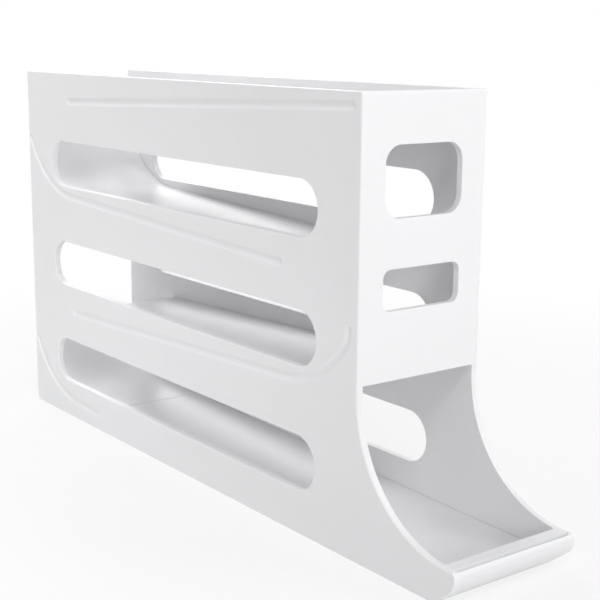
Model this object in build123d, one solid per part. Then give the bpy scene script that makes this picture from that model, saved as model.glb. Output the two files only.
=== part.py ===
"""Rolling dispenser with four zig-zag lanes, moulded in white plastic and pressed together.

Millimetres. +X runs from the back to the pickup lip, +Y across the width, +Z up. The origin is
the centre of the footprint, on the surface that the side panels stand on.

Shapes in side view are drawn with x along the length and y up, and then given their width.
"""
import math
import os

from build123d import *

# Body
body_length = 300.0
nose_length = 60.0
overall_width = 69.0
body_height = 195.6
wall = 3.2

# Side panel outline
lip_top = 16.0
sweep_rise = 60.0
sweep_flat = 3.4
nose_underside_run = 11.5
nose_underside_rise = 9.0
nose_top_round = 2.2
nose_low_round = 9.0
back_low_round = 3.0
back_top_round = 1.5
front_top_round = 0.8
front_edge_round = 0.8
edge_break = 0.4

# Side windows, from the lowest up
side_window_height = 25.0
side_window_back_margin = 28.4
side_window_front_margin = 27.5
side_window_rise = 23.0
side_window_pitch_share = 0.3163
side_window_count = 3

# Front panel windows
front_window_side_margin = 10.0
front_window_high = 30.0
front_window_high_share = 0.695
front_window_high_round = 8.0
front_window_low = 17.6
front_window_low_share = 0.321
front_window_low_round = 4.0

# Lanes: a straight slope, with one end curved up on all but the top lane
deck_thickness = 2.5
deck_slope = 2.27
catch_radius = 57.3
catch_angle = 61.0
catch_tip_radius = 14.0
back_catch_inset = 2.5
drop_gap = 50.5
ramp_reach = 76.0
lowest_deck_level = 9.9
top_deck_drop = 7.4
facing_step_share = 0.338
deck_end_round = 1.1
deck_front_gap = 1.5
side_gap = 0.3

# Ledges under the lanes, on the inside of the side panels
ledge_height = 2.0
ledge_depth = 3.0
ledge_end_margin = 2.0
ledge_catch_share = 0.7
seat_gap = 0.15

# Trace grooves on the outside of the side panels
groove_width = 5.6
groove_depth = 0.9
groove_lift = 0.04

# Press-in tabs and their blind pockets
tab_length = 9.0
tab_thickness = 1.8
tab_entry = 1.4
tab_clearance = 0.15
deck_tab_shares = (0.16, 0.5, 0.84)
catch_tab_share = 0.72
ramp_tab_shares = (0.4,)
front_tab_shares = (0.1, 0.5, 0.9)
tray_tab_shares = (0.08, 0.36, 0.64, 0.92)

# Pickup tray
tray_thickness = 2.5
tray_front_level = 5.2
tray_lap = 8.0
tray_lap_thickness = 2.0
lip_width = 9.4
lip_foot_width = 2.5
lip_foot_round = 6.0
lip_inner_round = 1.0
bead_groove_width = 2.5
bead_groove_depth = 2.2
bead_groove_inset = 0.8

# Cutters run this far past the faces that they open
overrun = 1.0

# Derived places
overall_length = body_length + nose_length
back_x = -overall_length / 2
nose_x = overall_length / 2
front_x = back_x + body_length
front_panel_bottom = lip_top + sweep_rise
front_panel_height = body_height - front_panel_bottom
curve_reach = nose_length - sweep_flat
curve_rise = sweep_rise - sweep_flat
curve_centre = (front_x + curve_reach, lip_top + curve_rise)
outer_y = overall_width / 2
inner_y = outer_y - wall
deck_edge_y = inner_y - side_gap
slope = math.radians(deck_slope)
lip_x = nose_x - lip_width
deck_reach = body_length - drop_gap
front_deck_reach = deck_reach - wall
deck_span = body_height - top_deck_drop - lowest_deck_level
catch_centre_offset = back_catch_inset + catch_radius * math.sin(math.radians(catch_angle))
front_catch_inset = wall + deck_front_gap + deck_thickness / 2


class Arc:
    """An arc of a lane's middle line, by its centre in run and height, and its two angles.

    An angle counts from straight down, towards the end of the catch wall.
    """

    def __init__(self, centre_run, centre_height, radius, first, last):
        self.centre_run = centre_run
        self.centre_height = centre_height
        self.radius = radius
        self.first = first
        self.last = last

    def point(self, angle, offset):
        """The run and height at an angle, moved towards the centre by an offset."""
        radius = self.radius - offset
        run = self.centre_run - radius * math.sin(angle)
        return (run, self.centre_height - radius * math.cos(angle))


class Lane:
    """The middle line of one lane in side view, in its own run from the higher end.

    Run 0 is the outer face of the body where the lane starts. The straight part falls away from
    it. A lane that starts at the front runs backwards.
    """

    def __init__(self, level, from_back, start, reach, arcs=()):
        self.level = level
        self.from_back = from_back
        self.reach = reach
        self.arcs = arcs
        self.turn = catch_centre_offset - catch_radius * math.sin(slope) if arcs else start

    def place(self, run, height):
        """Turns a run and a height into a place in side view."""
        x = back_x + run if self.from_back else front_x - run
        return (x, height)

    def line_point(self, run, offset):
        """A point on the straight part, moved square to it by an offset."""
        turn_run = catch_centre_offset - catch_radius * math.sin(slope)
        turn_height = self.level + catch_radius * (1 - math.cos(slope))
        height = turn_height - math.tan(slope) * (run - turn_run)
        return self.place(run + offset * math.sin(slope), height + offset * math.cos(slope))

    def arc_edges(self, offset, arcs):
        """The edges of arcs beside the middle line, from the slope up."""
        edges = []
        for arc in arcs:
            angles = (arc.first, (arc.first + arc.last) / 2, arc.last)
            points = [self.place(*arc.point(angle, offset)) for angle in angles]
            edges.append(ThreePointArc(*points))
        return edges

    def trace(self, offset, first, arcs):
        """The edges of a line beside the middle line, from a run on the slope up to the catch end."""
        start = self.line_point(first, offset)
        return [Line(start, self.line_point(self.turn, offset)), *self.arc_edges(offset, arcs)]

    def band(self, low, high):
        """The whole lane as a strip between two offsets."""
        return strip(self.trace(low, self.reach, self.arcs), self.trace(high, self.reach, self.arcs))

    def ledge(self, low, high, end_margin):
        """The strip that a ledge under the lane fills, short of both of its ends."""
        first = self.reach - end_margin
        if not self.arcs:
            return self.slope_strip(low, high, self.turn + ledge_end_margin, first)
        arc = self.arcs[0]
        last = arc.first + ledge_catch_share * (arc.last - arc.first)
        part = [Arc(arc.centre_run, arc.centre_height, arc.radius, arc.first, last)]
        return strip(self.trace(low, first, part), self.trace(high, first, part))

    def slope_strip(self, low, high, start, end):
        """A strip along the straight part, from one run to another, between two offsets."""
        corners = [
            self.line_point(start, low),
            self.line_point(end, low),
            self.line_point(end, high),
            self.line_point(start, high),
        ]
        return make_face(Polyline(*corners, close=True))

    def tab_faces(self, shares, grow):
        """Tabs along the lane, with any clearance round them added."""
        half_length = tab_length / 2 + grow
        half_thickness = tab_thickness / 2 + grow
        faces = Sketch()
        for share in shares:
            middle = self.turn + share * (self.reach - self.turn)
            start = middle - half_length
            faces += self.slope_strip(-half_thickness, half_thickness, start, middle + half_length)
        for arc in self.arcs[:1]:
            half_angle = half_length / arc.radius
            middle = arc.first + catch_tab_share * (arc.last - arc.first)
            angles = (middle - half_angle, middle + half_angle)
            piece = [Arc(arc.centre_run, arc.centre_height, arc.radius, *angles)]
            faces += strip(
                self.arc_edges(-half_thickness, piece), self.arc_edges(half_thickness, piece)
            )
        return faces


def strip(low_edges, high_edges):
    """The face between two lines that run side by side."""
    first = Line(low_edges[0] @ 0, high_edges[0] @ 0)
    last = Line(low_edges[-1] @ 1, high_edges[-1] @ 1)
    return make_face([*low_edges, *high_edges, first, last])


def back_catch(level):
    """The catch wall of a lane that starts at the back: one arc."""
    height = level + catch_radius
    return [Arc(catch_centre_offset, height, catch_radius, slope, math.radians(catch_angle))]


def front_catch(level):
    """The catch wall behind the front panel: the same arc, then a tighter one to upright."""
    height = level + catch_radius
    spare = catch_radius - catch_tip_radius
    join = math.asin((catch_centre_offset - catch_tip_radius - front_catch_inset) / spare)
    tip_run = catch_centre_offset - spare * math.sin(join)
    tip_height = height - spare * math.cos(join)
    return [
        Arc(catch_centre_offset, height, catch_radius, slope, join),
        Arc(tip_run, tip_height, catch_tip_radius, join, math.pi / 2),
    ]


def make_lanes():
    """The four lanes by name, from the top down."""
    top_level = lowest_deck_level + deck_span
    facing_level = lowest_deck_level + facing_step_share * deck_span
    pair_level = top_level - facing_step_share * deck_span
    return {
        "tier_1_deck": Lane(top_level, False, wall + deck_front_gap, deck_reach),
        "tier_2_deck": Lane(pair_level, True, 0, front_deck_reach, back_catch(pair_level)),
        "tier_3_deck": Lane(facing_level, False, 0, deck_reach, front_catch(facing_level)),
        "tier_4_ramp": Lane(lowest_deck_level, True, 0, ramp_reach, back_catch(lowest_deck_level)),
    }


lanes = make_lanes()
lane_tab_shares = {
    "tier_1_deck": deck_tab_shares,
    "tier_2_deck": deck_tab_shares,
    "tier_3_deck": deck_tab_shares,
    "tier_4_ramp": ramp_tab_shares,
}


def slab(sketch, low_y, high_y):
    """Gives a side view its width, from one place across the object to another."""
    plane = Plane(origin=(0, low_y, 0), x_dir=(1, 0, 0), z_dir=(0, -1, 0))
    return extrude(plane * sketch, amount=high_y - low_y, dir=(0, 1, 0))


def both_sides(sketch, low_y, high_y):
    """The same slab on the left and on the right of the middle."""
    return slab(sketch, -high_y, -low_y) + slab(sketch, low_y, high_y)


def round_corners(outline, rounds):
    """Rounds the corners of a side view, each place with its own radius."""
    for place, radius in rounds.items():
        corner = outline.vertices().sort_by_distance(Vector(*place))[0]
        outline = fillet(corner, radius)
    return outline


def sweep_curve():
    """The curve of the sweep: a quarter circle where it reaches as far as it rises."""
    if math.isclose(curve_reach, curve_rise):
        return CenterArc(curve_centre, curve_reach, 180, 90)
    return EllipticalCenterArc(curve_centre, curve_reach, curve_rise, 180, 270)


def sweep_height(x):
    """The height of the sweep over a place along its curve or on the flat ahead of it."""
    back = max(0, curve_centre[0] - x) / curve_reach
    return curve_centre[1] - curve_rise * math.sqrt(1 - back**2)


def sharp_outline():
    """Side view of a side panel before its corners are rounded: the body, the sweep, the nose."""
    curve = sweep_curve()
    border = Polyline(
        curve @ 1,
        (nose_x, lip_top),
        (nose_x, nose_underside_rise),
        (nose_x - nose_underside_run, 0),
        (back_x, 0),
        (back_x, body_height),
        (front_x, body_height),
        curve @ 0,
    )
    return make_face([border, curve])


def side_outline():
    """Side view of a side panel with its corners rounded."""
    rounds = {
        (nose_x, lip_top): nose_top_round,
        (nose_x, nose_underside_rise): nose_low_round,
        (back_x, 0): back_low_round,
        (back_x, body_height): back_top_round,
    }
    return round_corners(sharp_outline(), rounds)


def side_windows():
    """The three long windows with round ends."""
    length = body_length - side_window_back_margin - side_window_front_margin
    middle_x = back_x + side_window_back_margin + length / 2
    shapes = Sketch()
    for index in range(side_window_count):
        middle = lowest_deck_level + side_window_rise + index * side_window_pitch_share * deck_span
        shapes += Pos(middle_x, middle) * SlotOverall(length, side_window_height)
    return shapes


def half_groove_face():
    """Half of a groove's section: x from its middle across, y out of the panel.

    Two arcs of one radius meet halfway down. The section starts a little outside the panel, so
    that its shoulders break the face at a clear angle.
    """
    depth = groove_depth + groove_lift
    across = groove_width / 4
    drop = depth / 2
    bend = (across**2 + drop**2) / (2 * drop)
    angle = math.asin(across / bend) / 2
    top = groove_lift + overrun
    rim = (2 * across, groove_lift)
    halfway = (across, groove_lift - drop)
    bottom = (0, groove_lift - depth)
    rise = bend * (1 - math.cos(angle))
    run = bend * math.sin(angle)
    shoulder = ThreePointArc(rim, (rim[0] - run, rim[1] - rise), halfway)
    floor = ThreePointArc(halfway, (run, bottom[1] + rise), bottom)
    return make_face([Polyline(bottom, (0, top), (rim[0], top), rim), shoulder, floor])


def groove(edges):
    """A round-ended groove along a line in side view, to be cut from outside the left panel."""
    path = Plane(origin=(0, -outer_y, 0), x_dir=(1, 0, 0), z_dir=(0, -1, 0)) * Wire(edges)
    along = path % 0
    across = Vector(-along.Z, 0, along.X)
    half = half_groove_face()
    section = half + mirror(half, about=Plane.YZ)
    cutter = sweep(Plane(origin=path @ 0, x_dir=across, z_dir=along) * section, path=path)
    for place in (path @ 0, path @ 1):
        plane = Plane(origin=place, x_dir=(1, 0, 0), z_dir=(0, 0, -1))
        cutter += revolve(plane * half, axis=Axis(place, (0, 1, 0)), revolution_arc=360)
    return cutter


def top_groove():
    """The trace of the top lane: a straight groove that ends just short of the lane's front."""
    lane = lanes["tier_1_deck"]
    front_end = lane.line_point(lane.turn + deck_thickness / 2, 0)
    return groove([Line(lane.line_point(lane.reach, 0), front_end)])


def outer_edges(panel):
    """The edges round the outside face of the left panel, without its windows."""
    return panel.faces().sort_by(Axis.Y)[0].outer_wire().edges()


def round_outside():
    """The left panel with its outside edges rounded: the front down to the nose, then the rest."""
    panel = slab(sharp_outline(), -outer_y, -inner_y)
    ahead = outer_edges(panel).filter_by(lambda edge: edge.center().X > front_x - overrun)
    front = ahead.filter_by(lambda edge: edge.center().Z > lip_top - edge_break)
    panel = fillet(front, front_edge_round) & slab(side_outline(), -outer_y, -inner_y)
    behind = outer_edges(panel).filter_by(lambda edge: edge.center().X < 0)
    return fillet(behind, edge_break)


def top_front_offcut():
    """What the rounded top edge of the front leaves off a square corner, in side view."""
    middle_x = front_x - front_top_round
    middle_y = body_height - front_top_round
    reach = front_top_round + overrun
    square = Pos(middle_x + reach / 2, middle_y + reach / 2) * Rectangle(reach, reach)
    return square - Pos(middle_x, middle_y) * Circle(front_top_round)


def pocket_faces():
    """All blind pockets of a side panel in side view, with their clearance."""
    faces = front_tabs(tab_clearance) + tray_tabs(tab_clearance)
    for name, lane in lanes.items():
        faces += lane.tab_faces(lane_tab_shares[name], tab_clearance)
    return faces


def ledges():
    """Ledges that the lanes rest on, in side view, a seat's gap under them."""
    top = -deck_thickness / 2 - seat_gap
    faces = Sketch()
    for name, lane in lanes.items():
        margin = ledge_end_margin
        if name == "tier_4_ramp":
            margin += tray_lap
        faces += lane.ledge(top - ledge_height, top, margin)
    return faces


def make_left_side_panel():
    """The left side panel, with its windows, ledges, grooves and pockets."""
    panel = round_outside()
    panel -= slab(top_front_offcut(), -outer_y - overrun, -inner_y + overrun)
    panel -= bead_groove_end()
    panel -= slab(side_windows(), -outer_y - overrun, -inner_y + overrun)
    windows = panel.faces().sort_by(Axis.Y)[0].inner_wires()
    panel = fillet([edge for window in windows for edge in window.edges()], edge_break)
    panel += slab(ledges(), -inner_y, -inner_y + ledge_depth)
    panel -= slab(pocket_faces(), -inner_y - tab_entry - tab_clearance, -inner_y)
    panel -= top_groove()
    for name in ("tier_2_deck", "tier_3_deck", "tier_4_ramp"):
        lane = lanes[name]
        panel -= groove(lane.trace(0, lane.reach, lane.arcs))
    return panel


def make_lane(name):
    """One lane: a strip across the inside with tabs into both side panels."""
    lane = lanes[name]
    half = deck_thickness / 2
    rounds = {
        lane.line_point(lane.reach, -half): deck_end_round,
        lane.line_point(lane.reach, half): deck_end_round,
    }
    part = slab(round_corners(lane.band(-half, half), rounds), -deck_edge_y, deck_edge_y)
    tabs = lane.tab_faces(lane_tab_shares[name], 0)
    return part + both_sides(tabs, deck_edge_y, inner_y + tab_entry)


def front_tabs(grow):
    """Tabs on the long edges of the front panel, in side view."""
    faces = Sketch()
    for share in front_tab_shares:
        shape = Rectangle(tab_thickness + 2 * grow, tab_length + 2 * grow)
        faces += Pos(front_x - wall / 2, front_panel_bottom + share * front_panel_height) * shape
    return faces


def front_windows():
    """The two windows of the front panel, with x across the object and y up."""
    width = 2 * (inner_y - front_window_side_margin)
    high = RectangleRounded(width, front_window_high, front_window_high_round)
    low = RectangleRounded(width, front_window_low, front_window_low_round)
    high_middle = front_panel_bottom + front_window_high_share * front_panel_height
    low_middle = front_panel_bottom + front_window_low_share * front_panel_height
    return Pos(0, high_middle) * high + Pos(0, low_middle) * low


def make_front_panel():
    """The front panel: a plate between the side panels with two windows."""
    inside_x = front_x - wall
    middle = (front_x - wall / 2, front_panel_bottom + front_panel_height / 2)
    outline = Pos(*middle) * Rectangle(wall, front_panel_height)
    panel = slab(outline - top_front_offcut(), -inner_y, inner_y)
    plane = Plane(origin=(inside_x - overrun, 0, 0), x_dir=(0, 1, 0), z_dir=(1, 0, 0))
    panel -= extrude(plane * front_windows(), amount=wall + 2 * overrun)
    face = panel.faces().filter_by(Axis.X).sort_by(Axis.X)[-1]
    panel = fillet([edge for window in face.inner_wires() for edge in window.edges()], edge_break)
    return panel + both_sides(front_tabs(0), inner_y, inner_y + tab_entry)


def tray_start():
    """Where the tray floor takes over from the ramp, in side view, at the floor's top."""
    lane = lanes["tier_4_ramp"]
    x, y = lane.line_point(lane.reach, deck_thickness / 2)
    return (x + side_gap, y)


def tray_fall():
    """How far the tray floor falls for each millimetre forward."""
    x, y = tray_start()
    return (y - tray_front_level) / (lip_x - x)


def tray_strip(top, bottom, start_x, end_x):
    """A strip along the tray floor in side view, between two depths below its top."""
    x, y = tray_start()
    corners = []
    for place, depth in ((start_x, top), (end_x, top), (end_x, bottom), (start_x, bottom)):
        corners.append((place, y - tray_fall() * (place - x) - depth))
    return make_face(Polyline(*corners, close=True))


def tray_tabs(grow):
    """Tabs on the long edges of the tray, in side view."""
    start_x = tray_start()[0]
    top = (tray_thickness - tab_thickness) / 2 - grow
    bottom = (tray_thickness + tab_thickness) / 2 + grow
    faces = Sketch()
    for share in tray_tab_shares:
        middle = start_x + share * (lip_x - start_x)
        half_length = tab_length / 2 + grow
        faces += tray_strip(top, bottom, middle - half_length, middle + half_length)
    return faces


def bead_groove():
    """The groove behind the bead of the lip in side view: an upright back, a floor that rises."""
    front = nose_x - bead_groove_inset
    back = front - bead_groove_width
    top = lip_top + overrun
    corners = [(back, lip_top - bead_groove_depth), (front, lip_top), (front, top), (back, top)]
    return make_face(Polyline(*corners, close=True))


def bead_groove_end():
    """Where that groove runs out: its section rises as it crosses the left panel."""
    plane = Plane(origin=(0, -inner_y, 0), x_dir=(1, 0, 0), z_dir=(0, -1, 0))
    way = Vector(0, -wall, bead_groove_depth)
    return extrude(plane * bead_groove(), amount=way.length, dir=way)


def lip_outline():
    """The lip in side view: an upturned edge on a foot, with the side panels' nose in front."""
    foot_x = nose_x - nose_underside_run - lip_foot_width
    frame = Polyline(
        (foot_x, 0),
        (nose_x, 0),
        (nose_x, body_height),
        (lip_x, body_height),
        (lip_x, tray_front_level),
        (foot_x, tray_front_level),
        close=True,
    )
    return (side_outline() & make_face(frame)) - bead_groove()


def make_pickup_tray():
    """The pickup tray: a gently falling floor, a lap under the ramp and the lip across the front."""
    start_x = tray_start()[0]
    lap_top = deck_thickness + seat_gap
    lap_bottom = lap_top + tray_lap_thickness
    lip = lip_outline()
    outline = tray_strip(0, tray_thickness, start_x, lip_x)
    outline += tray_strip(0, lap_bottom, start_x, start_x + tray_lap)
    outline += tray_strip(lap_top, lap_bottom, start_x - tray_lap, start_x + tray_lap)
    outline += lip
    rounds = {
        (lip_x, tray_front_level): lip_foot_round,
        (lip_x, sweep_height(lip_x)): lip_inner_round,
    }
    part = slab(round_corners(outline, rounds), -deck_edge_y, deck_edge_y)
    part += both_sides(lip, deck_edge_y, inner_y)
    return part + both_sides(tray_tabs(0), deck_edge_y, inner_y + tab_entry)


def make_parts():
    """Every piece by its node's name."""
    left_side_panel = make_left_side_panel()
    parts = {
        "left_side_panel": left_side_panel,
        "right_side_panel": mirror(left_side_panel, about=Plane.XZ),
        "front_panel": make_front_panel(),
        "pickup_tray": make_pickup_tray(),
    }
    for name in lanes:
        parts[name] = make_lane(name)
    return parts


if __name__ == "__main__":
    os.makedirs("parts", exist_ok=True)
    for part_name, shape in make_parts().items():
        export_step(shape, f"parts/{part_name}.step")
        print(part_name, len(shape.solids()), round(shape.volume), shape.is_valid)
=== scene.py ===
"""A rolling dispenser moulded in white polypropylene, dressed for a plain studio picture.

All places are in metres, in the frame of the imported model: +X from the back to the pickup lip,
+Y across the width, +Z up, with the origin at the centre of the footprint on the floor.
"""
import logging
import math
from collections.abc import Iterable
from dataclasses import dataclass
from enum import Enum

import bpy
import numpy as np
from mathutils import Matrix, Vector

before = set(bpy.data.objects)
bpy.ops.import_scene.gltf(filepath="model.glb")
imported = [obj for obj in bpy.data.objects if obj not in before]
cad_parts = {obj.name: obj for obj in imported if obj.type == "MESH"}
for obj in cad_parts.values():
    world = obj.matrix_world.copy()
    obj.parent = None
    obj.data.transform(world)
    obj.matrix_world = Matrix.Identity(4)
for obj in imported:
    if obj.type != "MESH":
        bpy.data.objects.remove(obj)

MM = 0.001
# A full share, strength or opacity
FULL = 1.0
# The sRGB curve: where its straight line ends, how steep that is, and the power curve above it
SRGB_LINE_END = 0.04045
SRGB_LINE_SLOPE = 12.92
SRGB_OFFSET = 0.055
SRGB_POWER = 2.4
log = logging.getLogger("dispenser")


class Shade(Enum):
    """The colours of the plastic and the studio, as sRGB hex values."""

    SHELL = "F3F3F5"
    SHELL_WARM = "F1F1F2"
    LANE = "F0F0F2"
    LANE_WARM = "EEEEEF"
    STUDIO_FLOOR = "F2F2F2"
    STUDIO_WHITE = "FFFFFF"


def linear(shade: Shade) -> tuple[float, float, float, float]:
    """Turns an sRGB hex colour into a linear one, along a straight line near black, else a power.

    Args:
        shade: The colour to turn.

    Returns:
        Red, green, blue and an alpha of 1.
    """
    values = []
    for start in (0, 2, 4):
        value = int(shade.value[start : start + 2], 16) / 255
        if value <= SRGB_LINE_END:
            values.append(value / SRGB_LINE_SLOPE)
        else:
            values.append(((value + SRGB_OFFSET) / (1 + SRGB_OFFSET)) ** SRGB_POWER)
    return (*values, FULL)


def add_node(
    tree: bpy.types.NodeTree,
    kind: str,
    inputs: dict[str | int, object] | None = None,
    **settings: object,
) -> bpy.types.Node:
    """Adds a shader node with its settings and links.

    Args:
        tree: The node tree that takes the node.
        kind: The node's type name in Blender.
        inputs: Input name or number to the output socket that feeds it, or to a plain value.
        settings: Properties of the node itself.

    Returns:
        The new node.
    """
    node = tree.nodes.new(kind)
    for name, value in settings.items():
        setattr(node, name, value)
    for name, value in (inputs or {}).items():
        if isinstance(value, bpy.types.NodeSocket):
            tree.links.new(value, node.inputs[name])
        else:
            node.inputs[name].default_value = value
    return node


def empty_tree(holder: bpy.types.Material | bpy.types.World) -> bpy.types.NodeTree:
    """Turns a material's or world's nodes on and clears them.

    Args:
        holder: The new material or world.

    Returns:
        Its node tree, with nothing in it.
    """
    holder.use_nodes = True
    holder.node_tree.nodes.clear()
    return holder.node_tree


@dataclass(frozen=True)
class MouldedPolypropylene:
    """Injection-moulded white polypropylene: dense white pigment, satin from a spark-eroded mould.

    The pigment hides what is under it, so it looks opaque and even, with a soft broad highlight.
    """

    name: str
    shade: Shade
    warm_shade: Shade
    roughness_low: float = 0.38
    roughness_high: float = 0.48
    # Polypropylene refracts a little less than glass
    ior: float = 1.49
    # The eroded grain is about 0.1 mm wide; it is drawn at 0.7 mm, or it would not show at all
    grain_mm: float = 0.7
    grain_height_mm: float = 0.012
    grain_detail: float = 3.0
    grain_mix: float = 0.6
    # The melt's flow leaves slow waves in gloss and tint, a hand's width long
    flow_mm: float = 70.0
    flow_detail: float = 2.0
    flow_mix: float = 0.5
    # Nearly all of the waves lie between these two levels, which get the low and the high gloss
    flow_low: float = 0.3
    flow_high: float = 0.7

    def material(self) -> bpy.types.Material:
        """Builds the material.

        Returns:
            The material, with its patterns on Object coordinates.
        """
        material = bpy.data.materials.new(self.name)
        tree = empty_tree(material)
        place = add_node(tree, "ShaderNodeTexCoord").outputs["Object"]
        flow = add_node(
            tree,
            "ShaderNodeTexNoise",
            {
                "Vector": place,
                "Scale": 1 / (self.flow_mm * MM),
                "Detail": self.flow_detail,
                "Roughness": self.flow_mix,
            },
        )
        grain = add_node(
            tree,
            "ShaderNodeTexNoise",
            {
                "Vector": place,
                "Scale": 1 / (self.grain_mm * MM),
                "Detail": self.grain_detail,
                "Roughness": self.grain_mix,
            },
        )
        tint = add_node(
            tree,
            "ShaderNodeMix",
            {
                "Factor": flow.outputs["Fac"],
                "A": linear(self.shade),
                "B": linear(self.warm_shade),
            },
            data_type="RGBA",
        )
        gloss = add_node(
            tree,
            "ShaderNodeMapRange",
            {
                "Value": flow.outputs["Fac"],
                "From Min": self.flow_low,
                "From Max": self.flow_high,
                "To Min": self.roughness_low,
                "To Max": self.roughness_high,
            },
        )
        bump = add_node(
            tree,
            "ShaderNodeBump",
            {
                "Height": grain.outputs["Fac"],
                "Strength": FULL,
                "Distance": self.grain_height_mm * MM,
            },
        )
        shader = add_node(
            tree,
            "ShaderNodeBsdfPrincipled",
            {
                "Base Color": tint.outputs["Result"],
                "Roughness": gloss.outputs["Result"],
                "Normal": bump.outputs["Normal"],
                "IOR": self.ior,
            },
        )
        add_node(tree, "ShaderNodeOutputMaterial", {"Surface": shader.outputs["BSDF"]})
        return material


def seen_directly(tree: bpy.types.NodeTree) -> bpy.types.NodeSocket:
    """Tells what the camera sees, straight or in gloss or glass, from what lights the object.

    Args:
        tree: The node tree that takes the nodes.

    Returns:
        The output socket: 1 for a camera, glossy or transmission ray, else 0.
    """
    path = add_node(tree, "ShaderNodeLightPath").outputs
    seen = path["Is Camera Ray"]
    for other in ("Is Glossy Ray", "Is Transmission Ray"):
        either = add_node(tree, "ShaderNodeMath", {0: seen, 1: path[other]}, operation="MAXIMUM")
        seen = either.outputs["Value"]
    return seen


@dataclass(frozen=True)
class StudioPaper:
    """The floor's matt white paper, seen as plain white away from the object, with the shadow kept.

    Near the object the camera sees the lit paper with some white mixed in. The white grows with
    the distance from the origin, until far out it is all white and meets the world's.
    """

    name: str = "studio_paper"
    white_near: float = 0.74
    near: float = 0.2
    far: float = 0.55

    def material(self) -> bpy.types.Material:
        """Builds the material.

        Returns:
            The material: diffuse for the light that bounces off it, whitened for the camera.
        """
        material = bpy.data.materials.new(self.name)
        tree = empty_tree(material)
        place = add_node(tree, "ShaderNodeTexCoord").outputs["Object"]
        distance = add_node(tree, "ShaderNodeVectorMath", {0: place}, operation="LENGTH")
        whiter = add_node(
            tree,
            "ShaderNodeMapRange",
            {
                "Value": distance.outputs["Value"],
                "From Min": self.near,
                "From Max": self.far,
                "To Min": self.white_near,
                "To Max": FULL,
            },
            interpolation_type="SMOOTHSTEP",
        )
        share = add_node(
            tree,
            "ShaderNodeMath",
            {0: seen_directly(tree), 1: whiter.outputs["Result"]},
            operation="MULTIPLY",
        )
        paper = add_node(tree, "ShaderNodeBsdfDiffuse", {"Color": linear(Shade.STUDIO_FLOOR)})
        white = add_node(
            tree,
            "ShaderNodeEmission",
            {"Color": linear(Shade.STUDIO_WHITE), "Strength": FULL},
        )
        both = add_node(
            tree,
            "ShaderNodeMixShader",
            {"Fac": share.outputs["Value"], 1: paper.outputs["BSDF"], 2: white.outputs["Emission"]},
        )
        add_node(tree, "ShaderNodeOutputMaterial", {"Surface": both.outputs["Shader"]})
        return material


@dataclass
class SubAssembly:
    """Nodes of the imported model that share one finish."""

    nodes: tuple[str, ...]
    finish: MouldedPolypropylene

    def dress(self) -> None:
        """Gives each node its finish."""
        material = self.finish.material()
        for node in self.nodes:
            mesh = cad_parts[node].data
            mesh.materials.clear()
            mesh.materials.append(material)
            log.info("dressed %s with %s", node, material.name)


@dataclass
class Walls(SubAssembly):
    """The two side panels and the front panel, the outside of the body, in satin white plastic."""

    nodes: tuple[str, ...] = ("left_side_panel", "right_side_panel", "front_panel")
    finish: MouldedPolypropylene = MouldedPolypropylene(
        "moulded_polypropylene_walls", Shade.SHELL, Shade.SHELL_WARM
    )


@dataclass
class Lanes(SubAssembly):
    """The four sloping lanes and the pickup tray, a little smoother than the walls."""

    nodes: tuple[str, ...] = ("tier_1_deck", "tier_2_deck", "tier_3_deck", "tier_4_ramp", "pickup_tray")
    finish: MouldedPolypropylene = MouldedPolypropylene(
        "moulded_polypropylene_lanes",
        Shade.LANE,
        Shade.LANE_WARM,
        roughness_low=0.34,
        roughness_high=0.44,
    )


@dataclass(frozen=True)
class Softbox:
    """A flat studio lamp with an even oblong face.

    Its place, its aim and its face's width and height are in metres, its power in watts.
    """

    name: str
    place: tuple[float, float, float]
    aim: tuple[float, float, float]
    face: tuple[float, float]
    watts: float

    def build(self) -> None:
        """Hangs the lamp and turns it to its aim."""
        lamp = bpy.data.lights.new(self.name, "AREA")
        lamp.shape = "RECTANGLE"
        lamp.size, lamp.size_y = self.face
        lamp.energy = self.watts
        lamp.color = linear(Shade.STUDIO_WHITE)[:3]
        holder = bpy.data.objects.new(self.name, lamp)
        holder.location = self.place
        direction = Vector(self.aim) - Vector(self.place)
        holder.rotation_euler = direction.to_track_quat("-Z", "Y").to_euler()
        bpy.context.scene.collection.objects.link(holder)
        log.info("lamp %s at %s", self.name, self.place)


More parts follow.
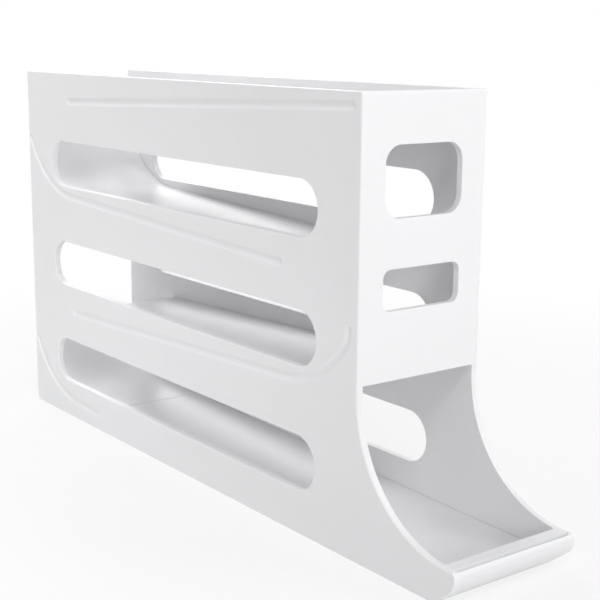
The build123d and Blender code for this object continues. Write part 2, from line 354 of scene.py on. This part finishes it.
@dataclass
class Studio:
    """The white floor, the lamps and the light all round."""

    floor_size: float = 8.0
    ambient: float = 0.3
    lamps: tuple[Softbox, ...] = (
        # Two main lamps ahead of the lip: the low one leaves the groove behind its bead in shade
        Softbox("key_low", (1.4, -0.4, 0.4), (0.05, -0.03, 0.1), face=(0.4, 0.4), watts=5.4),
        Softbox("key_high", (0.9, -0.6, 1.1), (0.05, -0.03, 0.1), face=(0.4, 0.4), watts=4.1),
        # Small lamps that brighten the near side towards its back and its lower edge
        Softbox("top_near", (-0.25, -0.15, 0.5), (-0.15, -0.03, 0.05), face=(0.2, 0.2), watts=0.6),
        Softbox("low_side", (-0.25, -0.35, 0.16), (-0.14, -0.03, 0.03), face=(0.2, 0.2), watts=0.09),
        Softbox("low_strip", (-0.05, -0.2, 0.055), (-0.05, -0.03, 0.01), face=(0.3, 0.05), watts=0.038),
        # Large lamps on the far side, for the upward faces and the edges there
        Softbox("far_fill", (0.7, 0.9, 0.9), (0.1, 0.0, 0.1), face=(0.8, 0.8), watts=5.2),
        Softbox("rim_back", (-1.1, 0.5, 0.8), (-0.1, 0.0, 0.1), face=(0.8, 0.8), watts=6.3),
    )

    def build_floor(self) -> None:
        """Lays the floor: a flat square at the height that the object stands on."""
        half = self.floor_size / 2
        corners = np.array([(-half, -half, 0), (half, -half, 0), (half, half, 0), (-half, half, 0)])
        mesh = bpy.data.meshes.new("studio_floor")
        mesh.from_pydata(corners.tolist(), [], [(0, 1, 2, 3)])
        mesh.materials.append(StudioPaper().material())
        floor = bpy.data.objects.new("studio_floor", mesh)
        bpy.context.scene.collection.objects.link(floor)

    def build_world(self) -> None:
        """Sets the even light all round, and the white behind the object."""
        world = bpy.data.worlds.new("studio_world")
        tree = empty_tree(world)
        strength = add_node(
            tree,
            "ShaderNodeMapRange",
            {"Value": seen_directly(tree), "To Min": self.ambient, "To Max": FULL},
        )
        sky = add_node(
            tree,
            "ShaderNodeBackground",
            {"Color": linear(Shade.STUDIO_WHITE), "Strength": strength.outputs["Result"]},
        )
        add_node(tree, "ShaderNodeOutputWorld", {"Surface": sky.outputs["Background"]})
        bpy.context.scene.world = world

    def build(self) -> None:
        """Sets up floor, world and lamps."""
        self.build_floor()
        self.build_world()
        for lamp in self.lamps:
            lamp.build()


@dataclass(frozen=True)
class PhotoCamera:
    """The camera at the reference picture's place and angle."""

    place: tuple[float, float, float] = (0.49857, -0.35231, 0.21618)
    azimuth_deg: float = 52.7095
    elevation_deg: float = 11.856
    roll_deg: float = 0.5379
    lens_mm: float = 75.169
    sensor_mm: float = 36.0
    clip_mm: float = 10.0

    def build(self) -> None:
        """Builds the camera and makes it the scene's own.

        Its axes come from the azimuth, counted from +Y towards -X, and from how far it looks down.
        """
        azimuth, down = math.radians(self.azimuth_deg), math.radians(self.elevation_deg)
        ahead = Vector(
            (-math.sin(azimuth) * math.cos(down), math.cos(azimuth) * math.cos(down), -math.sin(down))
        )
        level = Vector((math.cos(azimuth), math.sin(azimuth), 0.0))
        upright = level.cross(ahead)
        roll = math.radians(self.roll_deg)
        right = level * math.cos(roll) + upright * math.sin(roll)
        up = upright * math.cos(roll) - level * math.sin(roll)
        lens = bpy.data.cameras.new("photo_camera")
        lens.lens = self.lens_mm
        lens.sensor_width = self.sensor_mm
        lens.clip_start = self.clip_mm * MM
        holder = bpy.data.objects.new("photo_camera", lens)
        turn = Matrix((right, up, -ahead)).transposed().to_4x4()
        holder.matrix_world = Matrix.Translation(self.place) @ turn
        bpy.context.scene.collection.objects.link(holder)
        bpy.context.scene.camera = holder


def main() -> None:
    """Dresses the object, sets up the studio and reports each piece."""
    logging.basicConfig(level=logging.INFO, format="%(name)s: %(message)s")
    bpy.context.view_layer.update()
    Walls().dress()
    Lanes().dress()
    Studio().build()
    PhotoCamera().build()
    bpy.context.scene.view_settings.view_transform = "Standard"


if __name__ == "__main__":
    main()
